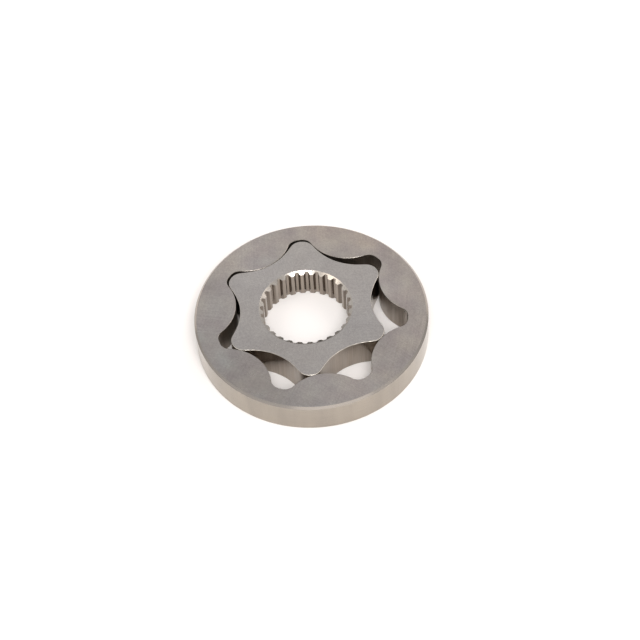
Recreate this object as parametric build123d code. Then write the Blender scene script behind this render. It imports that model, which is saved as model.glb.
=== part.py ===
from build123d import *
import os
from math import acos, cos, pi, radians, sin, tan

# Rotor set of an engine oil pump: a ring with inward teeth, and inside it a rotor with one lobe fewer.
# Millimetres. The origin is on the ring's axis at its lower face, and +Z goes up through both rotors.
# The inner rotor's axis stands off along +X, where one ring tooth lies deep between two lobes.

# The splined bore that the crankshaft drives: an involute spline in the usual hub proportions
module = 1.0
groove_count = 28
pressure_angle = 30.0           # degrees
profile_shift = 0.45            # in modules, which brings the groove roots to a round 30 mm
root_allowance = 0.55           # in modules, from the shifted pitch circle out to the groove roots
groove_depth = 1.0
groove_root_fillet = 0.28
upper_lead_in = 0.35            # how far the upper chamfer reaches past the groove roots
upper_lead_in_slope = 30.0      # degrees from the face, which leads the shaft in gently
lower_lead_in = 0.4             # chamfer on the lands' lower ends
lower_lead_in_slope = 45.0      # degrees from the face

# The trochoid pair
lobe_count = 6                  # the ring has one tooth more
eccentricity = 3.21             # from the ring's axis to the inner rotor's axis
tooth_radius = 14.7             # each ring tooth is an arc of this radius
hub_wall = 6.45                 # steel between a groove root and the hollow between two lobes
lobe_clearance = 0.06           # all along the lobes, so that the rotors turn freely
pocket_clearance = 0.38         # from a lobe's tip to the bottom of a pocket, at full depth
pocket_fillet = 3.45            # corners of the pockets
ring_wall = 6.64                # steel outside the pockets

# Both rotors are ground to the same thickness
thickness = 10.6
upper_rim_chamfer = 0.7
lower_rim_chamfer = 0.3
edge_break = 0.16               # along the lobes and the pockets

# Radii that follow from these
tooth_count = lobe_count + 1
pitch_radius = module * groove_count / 2
base_radius = pitch_radius * cos(radians(pressure_angle))
groove_root_radius = pitch_radius + module * (profile_shift + root_allowance)
land_radius = groove_root_radius - groove_depth
pitch_space = module * (pi / 2 + 2 * profile_shift * tan(radians(pressure_angle)))
hollow_radius = groove_root_radius + hub_wall
tooth_centre_radius = hollow_radius + lobe_clearance + tooth_radius + eccentricity
lobe_tip_radius = tooth_centre_radius + eccentricity - tooth_radius - lobe_clearance
pocket_radius = eccentricity + lobe_tip_radius + pocket_clearance
ring_radius = pocket_radius + ring_wall

points_per_lobe = 21            # the lobe's curve stays within a few microns of its formula
crowding = 0.8                  # draws these points towards the hollows, where the curve runs fastest
cutter_overrun = 1.0            # cutters pass this far beyond the faces that they cut


def polar(radius, angle):
    """The point at this radius and angle, in radians."""
    return Vector(radius * cos(angle), radius * sin(angle))


def lobe_point(turn):
    """Lobe outline: the path of a tooth's centre as the rotor sees it, moved in by the tooth's radius."""
    path = polar(tooth_centre_radius, turn) - polar(eccentricity, tooth_count * turn)
    along = polar(tooth_centre_radius, turn + pi / 2)
    along -= polar(eccentricity * tooth_count, tooth_count * turn + pi / 2)
    return path + Vector(-along.Y, along.X).normalized() * (tooth_radius + lobe_clearance)


def lobe_edge(number):
    """One lobe, from the middle of a hollow to the middle of the next."""
    pitch = 2 * pi / lobe_count
    points = []
    for i in range(points_per_lobe):
        share = i / (points_per_lobe - 1)
        share -= crowding * sin(2 * pi * share) / (2 * pi)
        points.append(lobe_point((number + share) * pitch))
    ends = [polar(1, (number + side) * pitch + pi / 2) for side in (0, 1)]
    return Spline(*points, tangents=ends)


def groove_half_angle(radius):
    """Half the angle that a spline groove spans at this radius, between its involute flanks."""
    pressure = acos(base_radius / radius)
    nominal = radians(pressure_angle)
    return pitch_space / (2 * pitch_radius) + (tan(nominal) - nominal) - (tan(pressure) - pressure)


def spline_groove():
    """One groove across +X: two involute flanks and a root with rounded corners."""
    mouth = land_radius - groove_depth / 4
    middle = (mouth + groove_root_radius) / 2
    flanks = []
    for side in (1, -1):
        flanks.append([polar(r, side * groove_half_angle(r)) for r in (mouth, middle, groove_root_radius)])
    upper, lower = flanks
    root = ThreePointArc(upper[2], polar(groove_root_radius, 0), lower[2])
    outline = [ThreePointArc(*upper), root, ThreePointArc(*lower), Line(lower[0], upper[0])]
    groove = make_face(Wire(outline).edges())
    corners = groove.vertices().sort_by(Axis.X)[-2:]
    return fillet(corners, groove_root_fillet)


def lead_in(reach, slope, face_height, side):
    """Cutter for a chamfer that opens the bore to this radius at a face, at this slope from the face."""
    rise = side * tan(radians(slope))
    outer, inner = reach + cutter_overrun, land_radius - cutter_overrun
    mouth = face_height + (outer - reach) * rise
    throat = face_height - (reach - inner) * rise
    profile = Polyline((0, mouth), (outer, mouth), (inner, throat), (0, throat), close=True)
    return revolve(Plane.XZ * make_face(profile.edges()), Axis.Z)


def pocket_outline():
    """The ring's hollow: a round one, less the teeth, with filleted pocket corners."""
    teeth = PolarLocations(tooth_centre_radius, tooth_count) * Circle(tooth_radius)
    hollow = Circle(pocket_radius) - teeth
    half_pitch = tooth_centre_radius * cos(pi / tooth_count)
    room = pocket_radius**2 + tooth_centre_radius**2 - tooth_radius**2 - 2 * pocket_radius * half_pitch
    full_round = room / (2 * (pocket_radius + tooth_radius - half_pitch))    # two fillets meet here
    return fillet(hollow.vertices(), min(pocket_fillet, 0.95 * full_round))


def outer_rotor():
    """Ring: a turned and chamfered blank, pierced by the pockets."""
    ring = extrude(Circle(ring_radius), thickness)
    rims = ring.edges().filter_by(GeomType.CIRCLE).sort_by(Axis.Z)
    ring = chamfer(rims[-1], upper_rim_chamfer)
    rims = ring.edges().filter_by(GeomType.CIRCLE).sort_by(Axis.Z)
    ring = chamfer(rims[0], lower_rim_chamfer)
    ring -= extrude(pocket_outline(), thickness)
    faces = ring.faces().filter_by(GeomType.PLANE).sort_by(Axis.Z)
    mouths = [edge for face in (faces[0], faces[-1]) for edge in face.inner_wires()[0].edges()]
    return chamfer(mouths, edge_break)


def inner_rotor():
    """Lobed rotor with its splined bore, standing on its own axis beside the ring's."""
    outline = make_face([lobe_edge(number) for number in range(lobe_count)])
    rotor = extrude(outline, thickness)
    faces = rotor.faces().filter_by(GeomType.PLANE).sort_by(Axis.Z)
    rims = [edge for face in (faces[0], faces[-1]) for edge in face.outer_wire().edges()]
    rotor = chamfer(rims, edge_break)
    grooves = PolarLocations(0, groove_count, start_angle=180 / lobe_count) * spline_groove()
    rotor -= extrude(Circle(land_radius) + grooves, thickness)
    rotor -= lead_in(groove_root_radius + upper_lead_in, upper_lead_in_slope, thickness, 1)
    rotor -= lead_in(land_radius + lower_lead_in, lower_lead_in_slope, 0, -1)
    return Pos(eccentricity, 0) * rotor


os.makedirs("parts", exist_ok=True)
for name, rotor in {"outer_rotor": outer_rotor(), "inner_rotor": inner_rotor()}.items():
    export_step(rotor, f"parts/{name}.step")
    print(name, "volume", round(rotor.volume), "mm3, valid", rotor.is_valid)
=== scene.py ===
from math import acos, atan2, cos, inf, pi, radians, sin, tan

import bpy
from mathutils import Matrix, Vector


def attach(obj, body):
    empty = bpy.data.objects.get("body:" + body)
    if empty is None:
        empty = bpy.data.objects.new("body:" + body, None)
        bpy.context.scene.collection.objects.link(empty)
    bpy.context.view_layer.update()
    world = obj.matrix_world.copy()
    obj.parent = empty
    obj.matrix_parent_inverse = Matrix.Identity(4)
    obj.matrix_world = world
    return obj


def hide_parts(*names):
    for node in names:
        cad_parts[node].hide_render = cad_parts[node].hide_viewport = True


# Rotor set of an oil pump: a ring with inward teeth, and a lobed rotor inside it.
# Each rotor is drawn in millimetres round its own axis, then brought to metres.

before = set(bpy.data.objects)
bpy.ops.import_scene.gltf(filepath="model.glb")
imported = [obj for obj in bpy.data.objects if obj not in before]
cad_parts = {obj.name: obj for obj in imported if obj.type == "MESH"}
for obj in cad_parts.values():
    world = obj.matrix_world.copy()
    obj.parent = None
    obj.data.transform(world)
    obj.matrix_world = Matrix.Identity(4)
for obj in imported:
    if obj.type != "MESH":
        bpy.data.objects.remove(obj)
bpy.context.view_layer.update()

mm = 0.001                        # in metres

pair = {
    "thickness": 10.6,            # both rotors, mm
    "eccentricity": 3.21,         # from the ring's axis to the inner rotor's axis, mm
    "toothRadius": 14.7,          # every ring tooth is an arc of this radius, mm
    "toothCentreRadius": 39.42,   # from the ring's axis to the middle of that arc, mm
    "teeth": 7,                   # the inner rotor has one lobe fewer
}
modelling = {
    "samePoint": 1e-3,            # points nearer than this are one, mm
    "cornerAngle": 60.0,          # an edge that turns by more than this is a corner to break, degrees
    "smoothAngle": 30.0,          # an edge that turns by less than this is shaded smooth, degrees
    "lean": 1e-4,                 # how far the normal of a flat face or an upright wall may lean
    "apart": 1.0,                 # outlines on one face lie further apart than this, mm
    "edgeSegments": 3,            # faces across a rounded edge
}


def deselectAll():
    if bpy.context.object and bpy.context.object.mode != "OBJECT":
        bpy.ops.object.mode_set(mode="OBJECT")
    bpy.ops.object.select_all(action="DESELECT")


def pick(piece):
    deselectAll()
    piece.select_set(True)
    bpy.context.view_layer.objects.active = piece


def editOnly(piece, mode="EDGE"):
    pick(piece)
    bpy.ops.object.mode_set(mode="EDIT")
    bpy.ops.mesh.select_mode(type=mode)


def polar(radius, angle):
    return Vector((radius * cos(angle), radius * sin(angle), 0))


def arcPoints(centre, radius, start, sweep, steps):
    return [centre + polar(radius, start + sweep * i / steps) for i in range(steps + 1)]


def roundedCorner(before, corner, after, radius, steps):
    sideA, sideB = (before - corner).normalized(), (after - corner).normalized()
    half = sideA.angle(sideB) / 2
    centre = corner + (sideA + sideB).normalized() * radius / sin(half)
    first = corner + sideA * radius / tan(half) - centre
    last = corner + sideB * radius / tan(half) - centre
    start = atan2(first.y, first.x)
    sweep = (atan2(last.y, last.x) - start + pi) % (2 * pi) - pi
    return arcPoints(centre, radius, start, sweep, steps)


# Draws half of a repeat point by point, mirrors it across +X and copies it round the axis.
def drawOutline(name, half, copies, phase=0.0):
    deselectAll()
    bpy.ops.mesh.primitive_plane_add(size=1)
    outline = bpy.context.object
    outline.name = outline.data.name = name
    editOnly(outline, "VERT")
    bpy.ops.mesh.select_all(action="SELECT")
    bpy.ops.mesh.merge(type="CENTER")
    bpy.ops.transform.translate(value=half[0])
    for here, there in zip(half, half[1:]):
        bpy.ops.mesh.extrude_region_move(TRANSFORM_OT_translate={"value": there - here})
    bpy.ops.mesh.select_all(action="SELECT")
    bpy.ops.mesh.duplicate()
    bpy.ops.transform.resize(value=(1, -1, 1), center_override=(0, 0, 0))
    bpy.ops.mesh.select_all(action="SELECT")
    bpy.ops.transform.rotate(value=-phase, orient_axis="Z", center_override=(0, 0, 0))
    bpy.ops.mesh.spin(steps=copies - 1, dupli=True, angle=2 * pi * (copies - 1) / copies,
                      center=(0, 0, 0), axis=(0, 0, 1))
    bpy.ops.mesh.select_all(action="SELECT")
    bpy.ops.mesh.remove_doubles(threshold=modelling["samePoint"])
    bpy.ops.object.mode_set(mode="OBJECT")
    return outline


# Joins two closed outlines, fills the flat face between them and gives it the rotor's thickness.
def raiseRotor(name, rim, hole):
    pick(rim)
    hole.select_set(True)
    bpy.ops.object.join()
    rim.name = rim.data.name = name
    editOnly(rim)
    bpy.ops.mesh.select_all(action="SELECT")
    bpy.ops.mesh.fill()
    bpy.ops.mesh.select_all(action="SELECT")
    bpy.ops.mesh.extrude_region_move(TRANSFORM_OT_translate={"value": (0, 0, pair["thickness"])})
    bpy.ops.mesh.select_all(action="SELECT")
    bpy.ops.mesh.normals_make_consistent(inside=False)
    bpy.ops.object.mode_set(mode="OBJECT")
    return rim


# Chamfers or rounds the corner edges whose two ends both pass the test, and returns how many there are.
def breakEdges(piece, test, width, segments):
    editOnly(piece)
    bpy.ops.mesh.select_all(action="DESELECT")
    bpy.ops.mesh.edges_select_sharp(sharpness=radians(modelling["cornerAngle"]))
    bpy.ops.object.mode_set(mode="OBJECT")
    mesh = piece.data
    chosen = [edge for edge in mesh.edges
              if edge.select and all(test(mesh.vertices[i].co) for i in edge.vertices)]
    for element in (*mesh.vertices, *mesh.edges, *mesh.polygons):
        element.select = False
    for edge in chosen:
        edge.select = True
        for i in edge.vertices:
            mesh.vertices[i].select = True
    editOnly(piece)
    bpy.ops.mesh.bevel(offset=width, segments=segments, affect="EDGES", clamp_overlap=False,
                       loop_slide=False)
    bpy.ops.object.mode_set(mode="OBJECT")
    return len(chosen)


def atHeight(z, low=0.0, high=inf):
    return lambda p: abs(p.z - z) < modelling["samePoint"] and low < p.xy.length < high


# Keeps flat faces and straight walls free of bent shading, then smooths the curved walls.
def crispShading(piece):
    lean = modelling["lean"]
    for test in (lambda n: abs(n.z) > 1 - lean, lambda n: abs(n.z) < lean):
        editOnly(piece, "FACE")
        bpy.ops.mesh.select_all(action="DESELECT")
        bpy.ops.object.mode_set(mode="OBJECT")
        for face in piece.data.polygons:
            face.select = test(face.normal)
        editOnly(piece, "FACE")
        bpy.ops.mesh.region_to_loop()
        bpy.ops.mesh.mark_sharp()
        bpy.ops.object.mode_set(mode="OBJECT")
    pick(piece)
    bpy.ops.object.shade_smooth_by_angle(angle=radians(modelling["smoothAngle"]), keep_sharp_edges=True)


def toMetres(piece, offset):
    pick(piece)
    piece.location = Vector(offset) * mm
    piece.scale = (mm, mm, mm)
    bpy.ops.object.transform_apply(location=True, rotation=True, scale=True)


ring = {
    "radius": 38.1,               # mm
    "pocketRadius": 31.46,        # bottoms of the pockets, mm
    "pocketFillet": 3.45,         # corners of the pockets, mm
    "upperRim": 0.7,              # edge of the upper face, mm
    "lowerRim": 0.3,              # edge of the lower face, mm
    "edgeBreak": 0.16,            # along the pockets' edges, mm
    "toothSteps": 64,             # points along half a tooth, one pocket corner and half a pocket's bottom
    "filletSteps": 40,
    "bottomSteps": 1,
    "rimPoints": 420,
}


def makeRing():
    s, tooth, centre = ring, pair["toothRadius"], polar(pair["toothCentreRadius"], 0)
    inner, reach = s["pocketRadius"] - s["pocketFillet"], tooth + s["pocketFillet"]
    turn = (centre.x**2 + inner**2 - reach**2) / (2 * centre.x * inner)
    filletCentre = polar(inner, pi / 2 - atan2(turn, (1 - turn**2) ** 0.5))
    away = filletCentre - centre
    lean = atan2(away.y, away.x)
    corner = atan2(filletCentre.y, filletCentre.x)
    half = arcPoints(centre, tooth, pi, lean - pi, s["toothSteps"])
    half += arcPoints(filletCentre, s["pocketFillet"], lean - pi, corner + pi - lean, s["filletSteps"])[1:]
    half += arcPoints(Vector(), s["pocketRadius"], corner, pi / pair["teeth"] - corner, s["bottomSteps"])[1:]
    pockets = drawOutline("pockets", half, pair["teeth"])
    deselectAll()
    bpy.ops.mesh.primitive_circle_add(vertices=s["rimPoints"], radius=s["radius"], fill_type="NOTHING")
    piece = raiseRotor("outerRotor", bpy.context.object, pockets)
    top, rim, rounded = pair["thickness"], s["radius"] - modelling["apart"], modelling["edgeSegments"]
    print("ring edges:",
          breakEdges(piece, atHeight(top, high=rim), s["edgeBreak"], rounded),
          breakEdges(piece, atHeight(0, high=rim), s["edgeBreak"], rounded),
          breakEdges(piece, atHeight(top, low=rim), s["upperRim"], 1),
          breakEdges(piece, atHeight(0, low=rim), s["lowerRim"], rounded))
    crispShading(piece)
    toMetres(piece, (0, 0, 0))
    return piece


outerRotor = makeRing()
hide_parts("outer_rotor")
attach(outerRotor, "outer_rotor")
print("ring made,", len(outerRotor.data.polygons), "faces")

rotor = {
    "lobeClearance": 0.06,        # between the lobes and the ring's teeth, mm
    "lobeSteps": 120,             # points along half a lobe
    "edgeBreak": 0.16,            # along the lobes' edges, mm
    "grooves": 28,                # of the splined bore, module 1
    "pressureAngle": 30.0,        # of the grooves' flanks, degrees
    "grooveWidth": 2.09,          # along the pitch circle, mm
    "landRadius": 14.0,           # mm
    "grooveRadius": 15.0,         # bottoms of the grooves, mm
    "floorFillet": 0.28,          # in the grooves' corners, mm
    "floorSteps": 5,
    "landRounding": 0.1,          # on the lands' corners, mm
    "landSteps": 3,
    "leadIns": ((15.35, 30.0), (14.4, 45.0)),    # upper and lower: radius at the face, slope in degrees
    "cutterOver": 0.5,            # how far the lead-ins' cutters stand out of the faces, mm
    "cutterPoints": 336,
}


# The lobes are what a ring tooth leaves as it rolls round, less the clearance.
def lobePoint(turn):
    reach, ecc, teeth = pair["toothCentreRadius"], pair["eccentricity"], pair["teeth"]
    path = polar(reach, turn) - polar(ecc, teeth * turn)
    along = polar(reach, turn + pi / 2) - polar(ecc * teeth, teeth * turn + pi / 2)
    inward = Vector((-along.y, along.x, 0)).normalized()
    return path + inward * (pair["toothRadius"] + rotor["lobeClearance"])


# Half the angle that a groove spans at this radius, between its involute flanks.
def grooveHalfAngle(radius):
    pitch, nominal = rotor["grooves"] / 2, radians(rotor["pressureAngle"])
    pressure = acos(pitch * cos(nominal) / radius)
    return rotor["grooveWidth"] / (2 * pitch) + tan(nominal) - nominal - tan(pressure) + pressure


# Opens one end of the bore to this radius with a cone; side is 1 at the upper face and -1 at the lower.
def countersink(piece, reach, slope, face, side):
    rise, over = tan(radians(slope)), rotor["cutterOver"]
    depth = (reach - rotor["landRadius"] + modelling["apart"]) * rise
    radii = [reach - depth / rise, reach + over / rise][::side]
    deselectAll()
    bpy.ops.mesh.primitive_cone_add(vertices=rotor["cutterPoints"], radius1=radii[0], radius2=radii[1],
                                    depth=depth + over, location=(0, 0, face + side * (over - depth) / 2),
                                    rotation=(0, 0, pi / (pair["teeth"] - 1)))
    cutter = bpy.context.object
    cut = piece.modifiers.new("leadIn", "BOOLEAN")
    cut.operation, cut.solver, cut.object = "DIFFERENCE", "EXACT", cutter
    pick(piece)
    bpy.ops.object.modifier_apply(modifier=cut.name)
    bpy.data.objects.remove(cutter)


def makeRotor():
    s, lobes, top = rotor, pair["teeth"] - 1, pair["thickness"]
    lobeHalf = [lobePoint(pi / lobes * i / s["lobeSteps"]) for i in range(s["lobeSteps"] + 1)]
    rim = drawOutline("lobes", lobeHalf, lobes)
    bottom = polar(s["grooveRadius"], 0)
    floor = polar(s["grooveRadius"], grooveHalfAngle(s["grooveRadius"]))
    mouth = polar(s["landRadius"], grooveHalfAngle(s["landRadius"]))
    land = polar(s["landRadius"], pi / s["grooves"])
    grooveHalf = [bottom] + roundedCorner(bottom, floor, mouth, s["floorFillet"], s["floorSteps"])
    grooveHalf += roundedCorner(floor, mouth, land, s["landRounding"], s["landSteps"]) + [land]
    bore = drawOutline("grooves", grooveHalf, s["grooves"], pi / lobes)
    piece = raiseRotor("innerRotor", rim, bore)
    beyondBore, rounded = s["grooveRadius"] + modelling["apart"], modelling["edgeSegments"]
    print("rotor edges:",
          breakEdges(piece, atHeight(top, low=beyondBore), s["edgeBreak"], rounded),
          breakEdges(piece, atHeight(0, low=beyondBore), s["edgeBreak"], rounded))
    for (reach, slope), face, side in zip(s["leadIns"], (top, 0), (1, -1)):
        countersink(piece, reach, slope, face, side)
    crispShading(piece)
    toMetres(piece, (pair["eccentricity"], 0, 0))
    return piece


innerRotor = makeRotor()
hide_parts("inner_rotor")
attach(innerRotor, "inner_rotor")
print("inner rotor made,", len(innerRotor.data.polygons), "faces")


def toLinear(hexColour):
    parts = [int(hexColour[i:i + 2], 16) / 255 for i in (1, 3, 5)]
    return [c / 12.92 if c <= 0.04045 else ((c + 0.055) / 1.055) ** 2.4 for c in parts] + [1.0]


# A key names a socket, or gives its number where names repeat, or else it names a property of the node.
# A value that is itself a socket is linked; any other is set.
def addNode(tree, kind, settings):
    node = tree.nodes.new(kind)
    for key, value in settings.items():
        if isinstance(value, bpy.types.NodeSocket):
            tree.links.new(value, node.inputs[key])
        elif isinstance(key, int) or key in node.inputs:
            node.inputs[key].default_value = value
        else:
            setattr(node, key, value)
    return node


# A bare metal, with the place on the piece given in millimetres.
def startMetal(name):
    material = bpy.data.materials.new(name)
    material.use_nodes = True
    tree = material.node_tree
    tree.nodes["Principled BSDF"].inputs["Metallic"].default_value = 1
    where = addNode(tree, "ShaderNodeTexCoord", {}).outputs["Object"]
    place = addNode(tree, "ShaderNodeVectorMath", {"operation": "SCALE", 0: where, "Scale": 1 / mm})
    return material, tree, place.outputs[0]


noiseSpan = (0.3, 0.7)            # holds nearly all of a noise's values
evenSpan = (-0.5, 0.5)            # of patterns that go as far down as up


# Blotches of this size along each axis, in mm, with values that span from low to high; more detail roughens
# their outlines, and the shift moves them about.
def blotches(tree, place, size, span, detail, shift=0.0):
    moved = addNode(tree, "ShaderNodeVectorMath", {
        "operation": "MULTIPLY_ADD", 0: place, 1: [1 / length for length in size], 2: (shift, -shift, shift)})
    noise = addNode(tree, "ShaderNodeTexNoise", {"Scale": 1.0, "Detail": detail, "Vector": moved.outputs[0]})
    return addNode(tree, "ShaderNodeMapRange", {
        "From Min": noiseSpan[0], "From Max": noiseSpan[1], "To Min": span[0], "To Max": span[1],
        "Value": noise.outputs[0]}).outputs[0]


# Ends a metal: its colour is dimmed by the shade, and its relief is a height of up to reliefDepth, in mm.
def finishMetal(tree, colour, shade, roughness, relief, reliefDepth):
    shader = tree.nodes["Principled BSDF"]
    tinted = addNode(tree, "ShaderNodeVectorMath", {"operation": "SCALE", 0: colour, "Scale": shade})
    bump = addNode(tree, "ShaderNodeBump", {"Distance": reliefDepth * mm, "Height": relief})
    tree.links.new(tinted.outputs[0], shader.inputs["Base Color"])
    tree.links.new(roughness, shader.inputs["Roughness"])
    tree.links.new(bump.outputs[0], shader.inputs["Normal"])


# Sintered steel, surface ground under a cup wheel, which leaves it flat and satin, crossed by faint arcs.
# Old oil leaves it cloudy, straw-coloured in places and faintly purple in others.
def groundSteel(name, s):
    material, tree, place = startMetal(name)
    clouds = blotches(tree, place, s["cloudSize"], evenSpan, s["cloudDetail"], s["cloudShift"])
    straw = blotches(tree, place, s["strawSize"], (0.0, 1.0), s["cloudDetail"], s["strawShift"])
    mottle = blotches(tree, place, s["mottleSize"], evenSpan, s["cloudDetail"], s["mottleShift"])
    grain = blotches(tree, place, s["grainSize"], evenSpan, s["grainDetail"])
    lines = 0.0
    for centre, shift in zip(s["wheelCentres"], s["patchShifts"]):
        reach = addNode(tree, "ShaderNodeVectorMath", {"operation": "DISTANCE", 0: place, 1: centre})
        arcs = addNode(tree, "ShaderNodeTexNoise", {
            "noise_dimensions": "1D", "Scale": 1 / s["lineSpacing"], "Detail": s["lineDetail"],
            "W": reach.outputs["Value"]})
        patches = blotches(tree, place, s["patchSize"], s["patchSpan"], s["patchDetail"], shift)
        swing = addNode(tree, "ShaderNodeMath", {"operation": "SUBTRACT", 0: arcs.outputs[0], 1: 0.5})
        lines = addNode(tree, "ShaderNodeMath", {
            "operation": "MULTIPLY_ADD", 0: swing.outputs[0], 1: patches, 2: lines}).outputs[0]
    shade = 1.0
    for pattern, contrast in ((lines, s["lineContrast"]), (grain, s["grainContrast"]),
                              (clouds, s["cloudContrast"]), (mottle, -s["mottleContrast"])):
        shade = addNode(tree, "ShaderNodeMath", {
            "operation": "MULTIPLY_ADD", 0: pattern, 1: contrast, 2: shade}).outputs[0]
    tinted = addNode(tree, "ShaderNodeMix", {
        "data_type": "RGBA", 0: straw, 6: toLinear(s["clean"]), 7: toLinear(s["straw"])})
    blush = addNode(tree, "ShaderNodeMapRange", {
        "From Min": evenSpan[0], "From Max": evenSpan[1], "To Min": 0.0, "To Max": s["blushShare"],
        "Value": mottle})
    colour = addNode(tree, "ShaderNodeMix", {
        "data_type": "RGBA", 0: blush.outputs[0], 6: tinted.outputs[2], 7: toLinear(s["blush"])})
    smooth, rough = s["roughness"]
    roughness = addNode(tree, "ShaderNodeMapRange", {
        "From Min": evenSpan[0], "From Max": evenSpan[1], "To Min": rough, "To Max": smooth,
        "Value": clouds})
    relief = addNode(tree, "ShaderNodeMath", {
        "operation": "MULTIPLY_ADD", 0: grain, 1: s["grainRelief"], 2: lines})
    finishMetal(tree, colour.outputs[2], shade, roughness.outputs[0], relief.outputs[0], s["reliefDepth"])
    return material


# Sintered steel with dull streaks and fine lines, drawn out along the way that the die or the tool went.
# On tumbled and burnished edges they are as wide as they are long.
def slidSteel(name, s):
    material, tree, place = startMetal(name)
    bands = blotches(tree, place, s["bandSize"], (0.0, 1.0), s["bandDetail"])
    lines = blotches(tree, place, s["lineSize"], evenSpan, s["lineDetail"], s["lineShift"])
    dull = addNode(tree, "ShaderNodeMath", {"operation": "MULTIPLY", 0: bands, 1: s["dullShare"]})
    colour = addNode(tree, "ShaderNodeMix", {
        "data_type": "RGBA", 0: dull.outputs[0], 6: toLinear(s["clean"]), 7: toLinear(s["dull"])})
    shade = addNode(tree, "ShaderNodeMath", {
        "operation": "MULTIPLY_ADD", 0: lines, 1: s["lineContrast"], 2: 1.0})
    smooth, rough = s["roughness"]
    roughness = addNode(tree, "ShaderNodeMapRange", {"To Min": smooth, "To Max": rough, "Value": bands})
    finishMetal(tree, colour.outputs[2], shade.outputs[0], roughness.outputs[0], lines, s["reliefDepth"])
    return material


# The ring's faces: matt grey, cloudy and tinted. The wheel's real lines are 0.1 mm apart and the steel's
# grains 0.1 mm wide, and both are drawn coarser so that they show.
ringFace = {
    "clean": "#ABABA9",
    "straw": "#B7AB9F",
    "blush": "#B4A4A9",                          # the faint purple
    "blushShare": 0.35,                          # how much of it shows where it is strongest
    "cloudDetail": 4.0,                          # of the clouds, the straw tint and the mottle
    "cloudSize": (26.0, 26.0, 20.0),             # mm, as all sizes here
    "cloudShift": 107.67,                        # moves the clouds about, as every shift does its pattern
    "cloudContrast": 0.27,
    "strawSize": (38.0, 38.0, 20.0),
    "strawShift": 244.94,
    "mottleSize": (6.0, 6.0, 6.0),
    "mottleShift": 17.0,
    "mottleContrast": 0.2,
    "wheelCentres": ((-70.0, 105.0, 0.0), (88.0, 92.0, 0.0)),
    "patchSize": (16.0, 12.0, 16.0),             # where a wheel's lines show more or less
    "patchShifts": (31.0, 40.0),
    "patchSpan": (0.1, 1.0),
    "patchDetail": 2.0,
    "lineSpacing": 0.7,
    "lineDetail": 3.0,
    "lineContrast": 0.22,
    "grainSize": (0.6, 0.6, 0.6),
    "grainDetail": 1.0,
    "grainContrast": 0.12,
    "grainRelief": 0.3,                          # against the lines' relief
    "roughness": (0.2, 0.28),
    "reliefDepth": 0.006,                        # mm
}
# The inner rotor's faces: ground finer and wiped cleaner, so they are paler and more even.
rotorFace = dict(ringFace, clean="#B6B2B0", straw="#BAB3AC", blush="#BBAFB2", blushShare=0.12,
                 cloudSize=(16.0, 16.0, 16.0), cloudContrast=0.12, mottleContrast=0.08,
                 wheelCentres=((60.0, 110.0, 0.0), (-105.0, 45.0, 0.0)), lineContrast=0.14)
# Lobes, lands and groove floors: smooth from the die, so they mirror the floor in fine upright streaks.
# The die's real lines are 0.05 mm wide, and are drawn coarser so that they show.
pressedWall = {
    "clean": "#9F978E",
    "dull": "#877A6E",
    "dullShare": 0.4,
    "bandSize": (2.2, 2.2, 30.0),                # mm, as all sizes here
    "bandDetail": 3.0,
    "lineSize": (0.35, 0.35, 14.0),
    "lineDetail": 4.0,
    "lineShift": 3.1,
    "lineContrast": 0.3,
    "roughness": (0.11, 0.16),
    "reliefDepth": 0.002,                        # mm
}
# Pockets: duller than the lobes, so they fade into the dark of the gaps with no clear reflection.
pocketWall = dict(pressedWall, clean="#9C938A", roughness=(0.34, 0.42))
# Flanks of the grooves: painted darker than the lands, as painted shade for the dark inside the grooves.
shadedGrooveFlank = dict(pressedWall, clean="#8A8178", dull="#6E655D", roughness=(0.12, 0.18))
# Rim: satin and warm, with lines round it and faint upright bands.
groundRim = dict(pressedWall, clean="#ABA398", dull="#8F8A84", bandSize=(4.0, 4.0, 30.0),
                 lineSize=(12.0, 12.0, 0.4), lineContrast=0.06, roughness=(0.13, 0.18))
# Chamfers of the rim: turned smooth, so they flash where they meet a lamp.
turnedEdge = dict(groundRim, clean="#ACA49C", dull="#A19993", roughness=(0.14, 0.18))
# Mouths of the bore: paler and softer than the rim's chamfers, bright on the far side and dark on the near.
boreMouth = dict(turnedEdge, clean="#BBB4AC", dull="#AFA8A0", roughness=(0.22, 0.28))
# Edges of the pockets: tumbled matt, a soft grey line.
tumbledEdge = dict(pressedWall, clean="#968F88", dull="#8B847D", bandSize=(3.0, 3.0, 3.0),
                   lineSize=(1.5, 1.5, 1.5), lineContrast=0.06, roughness=(0.25, 0.32), reliefDepth=0.001)
# Edges of the lobes: rubbed bright, and also painted paler as a painted highlight, so they show a thin pale
# line.
burnishedEdgeAndHighlight = dict(tumbledEdge, clean="#C4BDB4", dull="#B7AFA6", roughness=(0.3, 0.4))

faceOfRing = groundSteel("groundSinteredSteel", ringFace)
faceOfRotor = groundSteel("fineGroundSinteredSteel", rotorFace)
wallSteel = slidSteel("pressedSinteredSteel", pressedWall)
rimSteel = slidSteel("centrelessGroundSteel", groundRim)
chamferSteel = slidSteel("turnedSteel", turnedEdge)
mouthSteel = slidSteel("countersunkSteel", boreMouth)
pocketSteel = slidSteel("satinSinteredSteel", pocketWall)
# The flanks' darker colour is painted shade inside the grooves.
shadedFlankSteel = slidSteel("paintedShadeFlankSteel", shadedGrooveFlank)
tumbledSteel = slidSteel("tumbledSteel", tumbledEdge)
# The lobes' edges: burnished, with a paler colour that is partly a painted highlight.
edgeSteelAndHighlight = slidSteel("burnishedSteelAndPaintedHighlight", burnishedEdgeAndHighlight)

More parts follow.
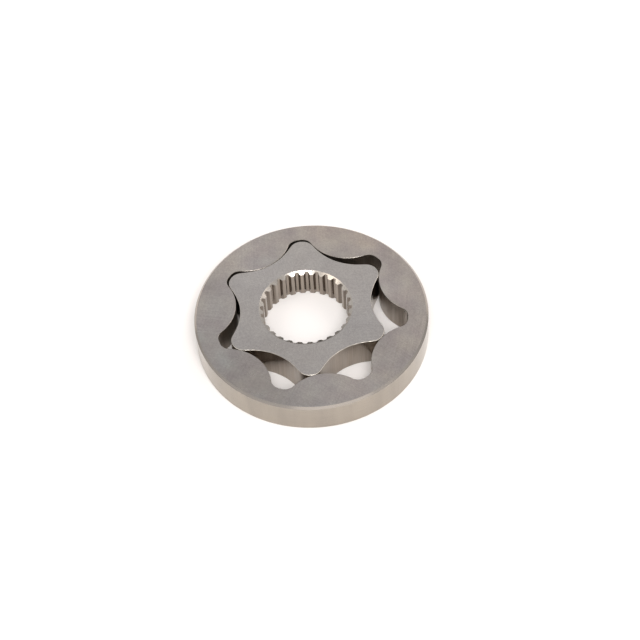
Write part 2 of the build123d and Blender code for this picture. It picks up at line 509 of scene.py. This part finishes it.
sorting = {
    "flat": 0.99,                 # a face is flat if the z of its normal is over this
    "upright": 0.05,              # and upright if it is under this
    "flank": 0.85,                # an upright face in the bore is a flank if it faces the axis less than this
    "spare": 0.1,                 # added to or taken from a radius before it is compared, mm
}
boreAxis = Vector((pair["eccentricity"], 0))


# Each of these tests takes a face's normal and its centre, in mm.
def isFlat(normal, centre):
    return abs(normal.z) > sorting["flat"]


def isUpright(normal, centre):
    return abs(normal.z) < sorting["upright"]


def isRim(normal, centre):
    return isUpright(normal, centre) and centre.xy.length > ring["radius"] - sorting["spare"]


def isRimChamfer(normal, centre):
    return centre.xy.length > ring["radius"] - ring["upperRim"]


def isFlank(normal, centre):
    out = centre.xy - boreAxis
    inBore = out.length < rotor["grooveRadius"] + sorting["spare"]
    return inBore and isUpright(normal, centre) and abs(normal.xy @ out.normalized()) < sorting["flank"]


def isMouth(normal, centre):
    return (centre.xy - boreAxis).length < rotor["grooveRadius"] + modelling["apart"]


def isAny(normal, centre):
    return True


# Gives every face the finish of the first test that it passes.
def dress(piece, finishes):
    steels, tests = zip(*finishes)
    for steel in steels:
        piece.data.materials.append(steel)
    for face in piece.data.polygons:
        centre = face.center / mm
        face.material_index = next(i for i, test in enumerate(tests) if test(face.normal, centre))


dress(outerRotor, [(faceOfRing, isFlat), (rimSteel, isRim), (chamferSteel, isRimChamfer),
                   (pocketSteel, isUpright), (tumbledSteel, isAny)])
dress(innerRotor, [(faceOfRotor, isFlat), (shadedFlankSteel, isFlank), (wallSteel, isUpright),
                   (mouthSteel, isMouth), (edgeSteelAndHighlight, isAny)])
print("finishes given:", ", ".join(material.name for material in bpy.data.materials))

studio = {
    "floorColour": "#E8E4E2",
    "floorRoughness": 0.9,
    "floorSize": 4.0,             # m
    # From the horizon, 0, to straight overhead, 1
    "skyGreys": ((0.0, 0.46), (0.35, 0.63), (0.57, 0.74), (0.77, 0.67), (0.9, 0.25), (1.0, 0.9)),
    "skyStrength": 1.2,
    "lampDistance": 1.2,          # m from the part
}
# Round softboxes: bearing round the part and height in degrees, diameter in m, radiance and colour
softboxes = {
    "key": (158.0, 60.0, 0.66, 9.6, "#FFFFFF"),
    "leftLamp": (69.2, 56.0, 0.51, 2.3, "#FFF6EC"),
    "frontLamp": (164.0, 37.0, 1.3, 0.4, "#FFFAF2"),
    "backLamp": (-85.8, 52.0, 0.51, 2.8, "#FFF5EE"),
    "sideLamp": (-152.4, 11.8, 0.42, 3.5, "#FFFAF2"),
}

deselectAll()
bpy.ops.mesh.primitive_plane_add(size=studio["floorSize"])
floor = bpy.context.object
floor.name = "floor"
paint = bpy.data.materials.new("mattFloor")      # flat paint: pale, with no reflections
paint.use_nodes = True
paint.node_tree.nodes["Principled BSDF"].inputs["Base Color"].default_value = toLinear(studio["floorColour"])
paint.node_tree.nodes["Principled BSDF"].inputs["Roughness"].default_value = studio["floorRoughness"]
floor.data.materials.append(paint)

sky = bpy.data.worlds.new("sky")
sky.use_nodes = True
tree = sky.node_tree
direction = addNode(tree, "ShaderNodeTexCoord", {}).outputs["Generated"]
height = addNode(tree, "ShaderNodeSeparateXYZ", {0: direction}).outputs[2]
greys = addNode(tree, "ShaderNodeValToRGB", {0: height})
for place, grey in studio["skyGreys"][1:-1]:
    greys.color_ramp.elements.new(place)
for element, (place, grey) in zip(greys.color_ramp.elements, studio["skyGreys"]):
    element.position, element.color = place, (grey, grey, grey, 1)
tree.links.new(greys.outputs[0], tree.nodes["Background"].inputs["Color"])
tree.nodes["Background"].inputs["Strength"].default_value = studio["skyStrength"]
bpy.context.scene.world = sky

for name, (bearing, climb, diameter, radiance, colour) in softboxes.items():
    towards = polar(cos(radians(climb)), radians(bearing)) + Vector((0, 0, sin(radians(climb))))
    deselectAll()
    bpy.ops.object.light_add(type="AREA", location=towards * studio["lampDistance"],
                             rotation=towards.to_track_quat("Z", "Y").to_euler())
    lamp = bpy.context.object
    lamp.name = lamp.data.name = name
    lamp.data.shape, lamp.data.size = "DISK", diameter
    lamp.data.color = toLinear(colour)[:3]
    lamp.data.energy = radiance * pi * pi * (diameter / 2) ** 2      # radiance, times pi, times the area
print("studio lit by", len(softboxes), "softboxes")

camera = {
    "location": (-0.327258, 0.191616, 0.492387),      # m
    "turn": (37.9248, 2.1177, -123.4773),             # degrees
    "lens": 106.121,                                  # mm
    "sensor": 36,                                     # mm
}
deselectAll()
bpy.ops.object.camera_add(location=camera["location"], rotation=[radians(a) for a in camera["turn"]])
bpy.context.scene.camera = bpy.context.object
bpy.context.object.data.lens = camera["lens"]
bpy.context.object.data.sensor_width = camera["sensor"]
bpy.context.scene.view_settings.view_transform = "Standard"
print("studio and camera set")
